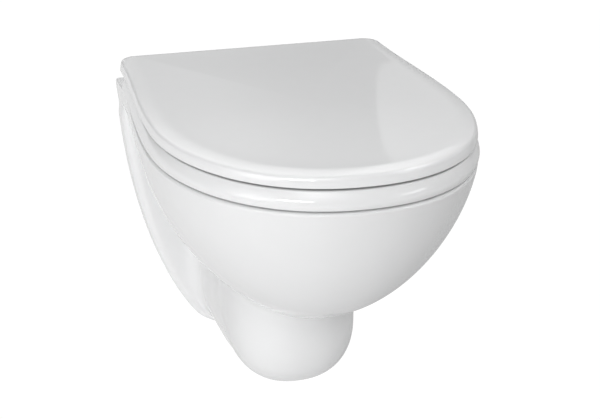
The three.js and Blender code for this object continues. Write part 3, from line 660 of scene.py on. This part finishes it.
def make_seat():
    def outer(inset):
        return cover_side(inset, SEAT_REACH, SEAT_BACK_REACH)

    count = len(outer(0))

    def hole(grow):
        return hole_side(grow, count)

    turn = np.linspace(0, math.pi / 2, ARC_STEPS + 1)
    height = SEAT_TOP - SEAT_BOTTOM
    foot = seat_inset(SEAT_FOOT / height)
    rings = [
        ring_at(outer(foot + SEAT_FOOT * (1 - math.sin(a))), SEAT_BOTTOM + SEAT_FOOT * (1 - math.cos(a)))
        for a in turn
    ]
    # The outer side leans in as it rises, and turns into the brow where both have the same slope
    share = SEAT_BROW_GUESS
    for _ in range(SETTLING_STEPS):
        tilt = math.atan(seat_slope(share) / height)
        share = 1 - SEAT_BROW * (1 - math.sin(tilt)) / height
    for t in np.linspace(SEAT_FOOT / height, share, SEAT_SIDE_LEVELS)[1:]:
        rings.append(ring_at(outer(seat_inset(t)), SEAT_BOTTOM + height * t))
    brow = seat_inset(share) + SEAT_BROW * math.cos(tilt)
    for a in np.linspace(tilt, math.pi / 2, ARC_STEPS + 1)[1:]:
        level = SEAT_TOP - SEAT_BROW * (1 - math.sin(a))
        rings.append(ring_at(outer(brow - SEAT_BROW * math.cos(a)), level))
    inside_top = SEAT_TOP - SEAT_DISH
    start, end = outer(brow), hole(SEAT_ROUND)
    for t in np.linspace(0, 1, SEAT_TOP_RINGS)[1:-1]:
        dish = SEAT_DISH * (3 * t ** 2 - 2 * t ** 3)
        rings.append(ring_at(lerp(start, end, t), SEAT_TOP - dish))
    rings += [
        ring_at(hole(SEAT_ROUND * (1 - math.sin(a))), inside_top - SEAT_ROUND * (1 - math.cos(a)))
        for a in turn
    ]
    rings += [
        ring_at(hole(SEAT_FOOT * (1 - math.cos(a))), SEAT_BOTTOM + SEAT_FOOT * (1 - math.sin(a)))
        for a in turn
    ]
    seat = loft("seat_ring", rings, closed=True)
    combine(seat, [box(
        (-BAY_HALF, -BAY_REACH, SEAT_BOTTOM - OVERRUN),
        (BAY_HALF, -SEAT_BACK_REACH + OVERRUN, SEAT_TOP + OVERRUN),
    )])
    for sign in (-1, 1):
        low, high = across(sign, KNUCKLE_START, KNUCKLE_END)
        riser = box(
            (low, -BAY_REACH - ARM_ROOT, AXIS_Z - RISER_FALL),
            (high, -HINGE_REACH - RISER_OFFSET, AXIS_Z + ARM_RISE),
        )
        arm = box(
            (low, -HINGE_REACH - RISER_OFFSET - OVERRUN, AXIS_Z - ARM_FALL),
            (high, -HINGE_REACH, AXIS_Z + ARM_RISE),
        )
        combine(seat, [riser, arm, bar(EYE_RADIUS, sign, KNUCKLE_START, KNUCKLE_END)], "UNION")
        combine(seat, [bar(BORE_RADIUS, sign, KNUCKLE_START - OVERRUN, KNUCKLE_END + OVERRUN)])
    return shade(seat)


def make_lid():
    front, back = LID_REACH + LID_NARROW, LID_BACK_REACH - LID_NARROW

    def outer(inset):
        return cover_side(LID_NARROW + inset, front, back - LID_TAIL * inset)

    middle = np.array([0, (LID_REACH + LID_BACK_REACH) / 2])
    end = math.radians(LID_CORNER_END)
    # The side leans in up to the corner, and the corner turns into a wide, flat shoulder
    low, start = LID_BOTTOM + LID_FOOT, 0.0
    for _ in range(SETTLING_STEPS):
        corner_low = LID_TOP - LID_SHOULDER_RISE - LID_CORNER * (math.sin(end) - math.sin(start))
        start = math.atan(2 * LID_LEAN / (corner_low - low))
    side = [(LID_LEAN * t ** 2, low + (corner_low - low) * t) for t in np.linspace(0, 1, LID_SIDE_LEVELS)]
    for a in np.linspace(start, end, 2 * ARC_STEPS)[1:]:
        side.append((
            LID_LEAN + LID_CORNER * (math.cos(start) - math.cos(a)),
            corner_low + LID_CORNER * (math.sin(a) - math.sin(start)),
        ))
    shoulder = LID_SHOULDER_RISE / (1 - math.sin(end))
    corner_inset = side[-1][0]
    for a in np.linspace(end, math.pi / 2, ARC_STEPS + 1)[1:]:
        side.append((
            corner_inset + shoulder * (math.cos(end) - math.cos(a)),
            LID_TOP - shoulder * (1 - math.sin(a)),
        ))
    top = outer(side[-1][0])
    rings = []
    for share in np.linspace(LID_CROWN_START, 1, LID_TOP_RINGS)[:-1]:
        crown = LID_CROWN * (1 - share ** 2) ** LID_CROWN_POWER
        rings.append(ring_at(middle + (top - middle) * share, LID_TOP + crown))
    rings += [ring_at(outer(inset), z) for inset, z in side[::-1]]
    turn = np.linspace(0, math.pi / 2, ARC_STEPS + 1)[1:]
    rings += [
        ring_at(outer(LID_FOOT * (1 - math.cos(a))), LID_BOTTOM + LID_FOOT * (1 - math.sin(a)))
        for a in turn
    ]
    hollow = cover_side(LID_NARROW + LID_SHELL, front, LID_BAR - LID_SHELL - LID_NARROW)
    ceiling = LID_TOP - LID_SHELL
    inner = middle + (hollow - middle) * LID_CEILING_SHARE
    rings += [ring_at(hollow, LID_BOTTOM), ring_at(hollow, ceiling), ring_at(inner, ceiling)]
    lid = loft("seat_lid", rings)
    for sign in (-1, 1):
        low, high = across(sign, SLOT_START, SLOT_END)
        tools = [
            box((low, -LID_BAR - OVERRUN, LID_BOTTOM - OVERRUN), (high, -LID_BACK_REACH + OVERRUN, AXIS_Z)),
            box((low, -HINGE_REACH, AXIS_Z - OVERRUN), (high, -LID_BACK_REACH + OVERRUN, AXIS_Z + SKIN_RISE)),
            box((low, -LID_BAR - OVERRUN, AXIS_Z - OVERRUN), (high, -HINGE_REACH, ceiling)),
            bar(BORE_RADIUS, sign, SLOT_START - PIN_GRIP - SIDE_GAP, SLOT_END + PIN_GRIP + SIDE_GAP),
            bar(EYE_RADIUS + EYE_GAP, sign, SLOT_START, SLOT_END),
        ]
        combine(lid, tools)
    # The pins slide in from a groove between the hinges
    groove_half = HINGE_X + SLOT_START - PIN_GRIP
    groove = box(
        (-groove_half, -HINGE_REACH - BORE_RADIUS, LID_BOTTOM - OVERRUN),
        (groove_half, -HINGE_REACH + BORE_RADIUS, AXIS_Z + BORE_RADIUS),
    )
    return shade(combine(lid, [groove]))


# ---- materials ----

NOISE_DETAIL = 3.0
TINT_RANGE = (0.3, 0.7)


def material(name, colour, roughness, scale, tint, rough_vary, metallic=0.0, bump=0.0):
    """A noise of this scale darkens by up to tint, roughens by up to rough_vary and lifts by bump metres."""
    mat = bpy.data.materials.new(name)
    mat.use_nodes = True
    nodes, links = mat.node_tree.nodes, mat.node_tree.links
    shader = nodes["Principled BSDF"]
    shader.inputs["Base Color"].default_value = (*colour, 1)
    shader.inputs["Roughness"].default_value = roughness
    shader.inputs["Metallic"].default_value = metallic
    place = nodes.new("ShaderNodeTexCoord")
    noise = nodes.new("ShaderNodeTexNoise")
    noise.inputs["Scale"].default_value = scale
    noise.inputs["Detail"].default_value = NOISE_DETAIL
    links.new(place.outputs["Object"], noise.inputs["Vector"])
    ramp = nodes.new("ShaderNodeValToRGB")
    ramp.color_ramp.elements[0].position = TINT_RANGE[0]
    ramp.color_ramp.elements[1].position = TINT_RANGE[1]
    ramp.color_ramp.elements[0].color = (*[c * (1 - tint) for c in colour], 1)
    ramp.color_ramp.elements[1].color = (*colour, 1)
    links.new(noise.outputs["Fac"], ramp.inputs["Fac"])
    links.new(ramp.outputs["Color"], shader.inputs["Base Color"])
    spread = nodes.new("ShaderNodeMapRange")
    spread.inputs["To Min"].default_value = roughness
    spread.inputs["To Max"].default_value = roughness + rough_vary
    links.new(noise.outputs["Fac"], spread.inputs["Value"])
    links.new(spread.outputs["Result"], shader.inputs["Roughness"])
    if bump:
        relief = nodes.new("ShaderNodeBump")
        relief.inputs["Strength"].default_value = 1.0
        relief.inputs["Distance"].default_value = bump
        links.new(noise.outputs["Fac"], relief.inputs["Height"])
        links.new(relief.outputs["Normal"], shader.inputs["Normal"])
    return mat


WHITE_GLOSS = (0.775, 0.778, 0.782)
PLATING = (0.78, 0.79, 0.8)
RUBBER = (0.74, 0.74, 0.72)
china = material("china_glaze", WHITE_GLOSS, 0.04, scale=22.0, tint=0.012, rough_vary=0.02, bump=0.00006)
moulding = material("seat_moulding", WHITE_GLOSS, 0.03, scale=60.0, tint=0.008, rough_vary=0.02, bump=0.00001)
plated = material("hinge_plating", PLATING, 0.14, scale=300.0, tint=0.04, rough_vary=0.08, metallic=1.0)
nylon = material("white_nylon", (0.8, 0.8, 0.78), 0.38, scale=900.0, tint=0.03, rough_vary=0.1, bump=0.00003)
rubber = material("buffer_rubber", RUBBER, 0.65, scale=1200.0, tint=0.05, rough_vary=0.1, bump=0.00004)
zinc = material("zinc_plate", (0.62, 0.63, 0.63), 0.33, scale=700.0, tint=0.12, rough_vary=0.15, metallic=1.0)


def dress(obj, mat):
    obj.data.materials.clear()
    obj.data.materials.append(mat)


pan = make_pan()
dress(pan, china)
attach(pan, "pan")
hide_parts("pan")

seat = make_seat()
dress(seat, moulding)
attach(seat, "seat")
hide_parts("seat")

lid = make_lid()
dress(lid, moulding)
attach(lid, "lid")
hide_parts("lid")

# Looks of the CAD nodes that are kept, by how their names start
NODE_LOOKS = {
    "hinge_post": plated, "hinge_pin": plated, "hinge_pad": rubber, "seat_bush": nylon, "lid_bush": nylon,
    "seat_buffer": rubber, "lid_buffer": rubber, "cone_washer": rubber, "wing_nut": nylon,
    "fixing_sleeve": nylon, "fixing_washer": zinc, "fixing_nut": zinc, "fixing_cap": nylon,
}
for name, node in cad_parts.items():
    for start, look in NODE_LOOKS.items():
        if name.startswith(start):
            for slot in node.material_slots:
                slot.material = look


# ---- floor, light and camera ----

class Graph:
    """Adds math nodes to a node tree."""

    def __init__(self, tree):
        self.nodes, self.links = tree.nodes, tree.links

    def put(self, socket, value):
        if isinstance(value, (int, float)):
            socket.default_value = value
        else:
            self.links.new(value, socket)

    def math(self, operation, a, b=0.0):
        node = self.nodes.new("ShaderNodeMath")
        node.operation = operation
        self.put(node.inputs[0], a)
        self.put(node.inputs[1], b)
        return node.outputs[0]

    def dot(self, vector, fixed):
        node = self.nodes.new("ShaderNodeVectorMath")
        node.operation = "DOT_PRODUCT"
        self.links.new(vector, node.inputs[0])
        node.inputs[1].default_value = fixed
        return node.outputs["Value"]

    def rise(self, value, start, end):
        """0 at start and 1 at end."""
        node = self.nodes.new("ShaderNodeMapRange")
        node.interpolation_type = "SMOOTHSTEP"
        node.inputs["From Min"].default_value = start
        node.inputs["From Max"].default_value = end
        self.links.new(value, node.inputs["Value"])
        return node.outputs["Result"]

    def fade(self, value, amount):
        """1 where value is 0, and less by amount where it is 1."""
        return self.math("SUBTRACT", 1.0, self.math("MULTIPLY", value, amount))

    def band(self, value, low, high, edge, far_edge=None):
        """1 between low and high, with soft edges."""
        far_edge = far_edge or edge
        start = self.rise(value, low - edge, low + edge)
        end = self.rise(value, high + far_edge, high - far_edge)
        return self.math("MULTIPLY", start, end)


# The floor, in metres. It lights the object with FLOOR_LIGHT, and the camera sees it as FLOOR_WHITE.
FLOOR_HALF, FLOOR_Z = 6.0, -0.32
FLOOR_LIGHT, FLOOR_WHITE = 0.8, 1.02
WHITE = (1, 1, 1, 1)
# Its light is less on the right: from here, to here, by this share
RIGHT_START, RIGHT_END, RIGHT_SHADE = 0.0, 0.24, 0.33
# Its light is less round a place under the bowl: how far round it, by this share
UNDER_PLACE, UNDER_RADIUS, UNDER_SHADE = (0.0, -0.25, FLOOR_Z), 0.5, 0.12


def make_floor():
    mesh = bpy.data.meshes.new("floor")
    half, z = FLOOR_HALF, FLOOR_Z
    corners = [(-half, -half, z), (half, -half, z), (half, half, z), (-half, half, z)]
    mesh.from_pydata(corners, [], [(0, 1, 2, 3)])
    floor = bpy.data.objects.new("floor", mesh)
    bpy.context.scene.collection.objects.link(floor)
    mat = bpy.data.materials.new("pale_floor")
    mat.use_nodes = True
    tree = mat.node_tree
    tree.nodes.remove(tree.nodes["Principled BSDF"])
    glow = tree.nodes.new("ShaderNodeEmission")
    glow.inputs["Color"].default_value = WHITE
    f = Graph(tree)
    place = f.nodes.new("ShaderNodeTexCoord").outputs["Object"]
    spot = f.nodes.new("ShaderNodeSeparateXYZ")
    f.links.new(place, spot.inputs[0])
    right = f.rise(spot.outputs["X"], RIGHT_START, RIGHT_END)
    under = f.nodes.new("ShaderNodeVectorMath")
    under.operation = "DISTANCE"
    f.links.new(place, under.inputs[0])
    under.inputs[1].default_value = UNDER_PLACE
    near = f.rise(under.outputs["Value"], UNDER_RADIUS, 0.0)
    level = f.math("MULTIPLY", f.fade(right, RIGHT_SHADE), f.fade(near, UNDER_SHADE))
    level = f.math("MULTIPLY", level, FLOOR_LIGHT)
    seen = f.nodes.new("ShaderNodeLightPath").outputs["Is Camera Ray"]
    shown = f.math("MULTIPLY", seen, FLOOR_WHITE)
    shown = f.math("ADD", shown, f.math("MULTIPLY", level, f.fade(seen, 1.0)))
    f.links.new(shown, glow.inputs["Strength"])
    tree.links.new(glow.outputs["Emission"], tree.nodes["Material Output"].inputs["Surface"])
    dress(floor, mat)


make_floor()


def direction(azimuth, elevation):
    """Azimuth 0 is in front and positive to the right, both in degrees."""
    a, e = math.radians(azimuth), math.radians(elevation)
    return (math.sin(a) * math.cos(e), -math.cos(a) * math.cos(e), math.sin(e))


# Angles of the lights and boards are in degrees.
# Broad lights: azimuth, elevation, tightness, strength
BROAD_LIGHTS = [
    (-64.7, 2.0, 20.0, 4.6),
    (100.1, 18.4, 6.7, 0.52),
    (-18.3, 36.2, 20.0, 4.3),
    (-182.3, 49.4, 10.0, 2.6),
]
# Softboxes: azimuth range, elevation range, edge, strength
SOFTBOXES = [
    (-46.0, -21.0, 8.0, 13.0, 0.8, 19.0),
    (55.0, 115.0, 45.0, 58.0, 1.5, 6.0),
    (38.0, 60.0, 5.0, 11.0, 1.5, 4.5),
    (152.0, 159.85, 24.0, 40.0, 1.5, 0.6),
]
# Dark boards behind, which the lid mirrors: azimuth range, elevation range, lower and upper edge, shade
BOARDS = [
    (159.85, 215.0, -9.0, 20.5, 0.1, 2.5, 0.4),
    (159.85, 165.0, -9.0, 24.0, 0.1, 3.0, 0.6),
]
DEGREES = 180 / math.pi
FULL_TURN = 360.0

world = bpy.data.worlds.new("studio")
bpy.context.scene.world = world
world.use_nodes = True
g = Graph(world.node_tree)
ray = g.nodes.new("ShaderNodeTexCoord").outputs["Generated"]
split = g.nodes.new("ShaderNodeSeparateXYZ")
g.links.new(ray, split.inputs[0])
light = 0.0
for azimuth, elevation, tightness, strength in BROAD_LIGHTS:
    away = g.math("SUBTRACT", g.dot(ray, direction(azimuth, elevation)), 1.0)
    glow = g.math("EXPONENT", g.math("MULTIPLY", away, tightness))
    light = g.math("ADD", g.math("MULTIPLY", glow, strength), light)
ahead = g.math("MULTIPLY", split.outputs["Y"], -1.0)
turn = g.math("MULTIPLY", g.math("ARCTAN2", split.outputs["X"], ahead), DEGREES)
rise = g.math("MULTIPLY", g.math("ARCSINE", split.outputs["Z"]), DEGREES)
behind = g.math("FLOORED_MODULO", turn, FULL_TURN)
for low, high, bottom, top, edge, far_edge, amount in BOARDS:
    board = g.band(behind, low, high, edge, far_edge)
    board = g.math("MULTIPLY", board, g.band(rise, bottom, top, edge, far_edge))
    light = g.math("MULTIPLY", light, g.fade(board, amount))
for low, high, bottom, top, edge, strength in SOFTBOXES:
    box_mask = g.math("MULTIPLY", g.band(turn, low, high, edge), g.band(rise, bottom, top, edge))
    light = g.math("ADD", g.math("MULTIPLY", box_mask, strength), light)
# The camera sees plain white, and the lights reach only what they fall on
seen = g.nodes.new("ShaderNodeLightPath").outputs["Is Camera Ray"]
shown = g.math("MAXIMUM", seen, g.math("MULTIPLY", light, g.math("SUBTRACT", 1.0, seen)))
g.links.new(shown, g.nodes["Background"].inputs["Strength"])
g.nodes["Background"].inputs["Color"].default_value = WHITE


# Place in metres, angles in degrees, sensor and lens in millimetres, shifts as shares of the picture's width
CAMERA_PLACE = (-0.5201, -1.9921, 0.7120)
CAMERA_AZIMUTH, CAMERA_ELEVATION, CAMERA_ROLL = -16.483, 20.684, 0.273
CAMERA_SENSOR, CAMERA_LENS = 36.0, 102.936
CAMERA_SHIFT_X, CAMERA_SHIFT_Y = 0.01064, -0.05557

camera_data = bpy.data.cameras.new("camera")
camera_data.sensor_width = CAMERA_SENSOR
camera_data.lens = CAMERA_LENS
camera_data.shift_x = CAMERA_SHIFT_X
camera_data.shift_y = CAMERA_SHIFT_Y
camera = bpy.data.objects.new("camera", camera_data)
back = Vector(direction(CAMERA_AZIMUTH, CAMERA_ELEVATION))
roll = Matrix.Rotation(math.radians(CAMERA_ROLL), 3, "Z").to_quaternion()
camera.rotation_mode = "QUATERNION"
camera.rotation_quaternion = (-back).to_track_quat("-Z", "Y") @ roll
camera.location = CAMERA_PLACE
bpy.context.scene.collection.objects.link(camera)
bpy.context.scene.camera = camera
bpy.context.scene.view_settings.view_transform = "Standard"
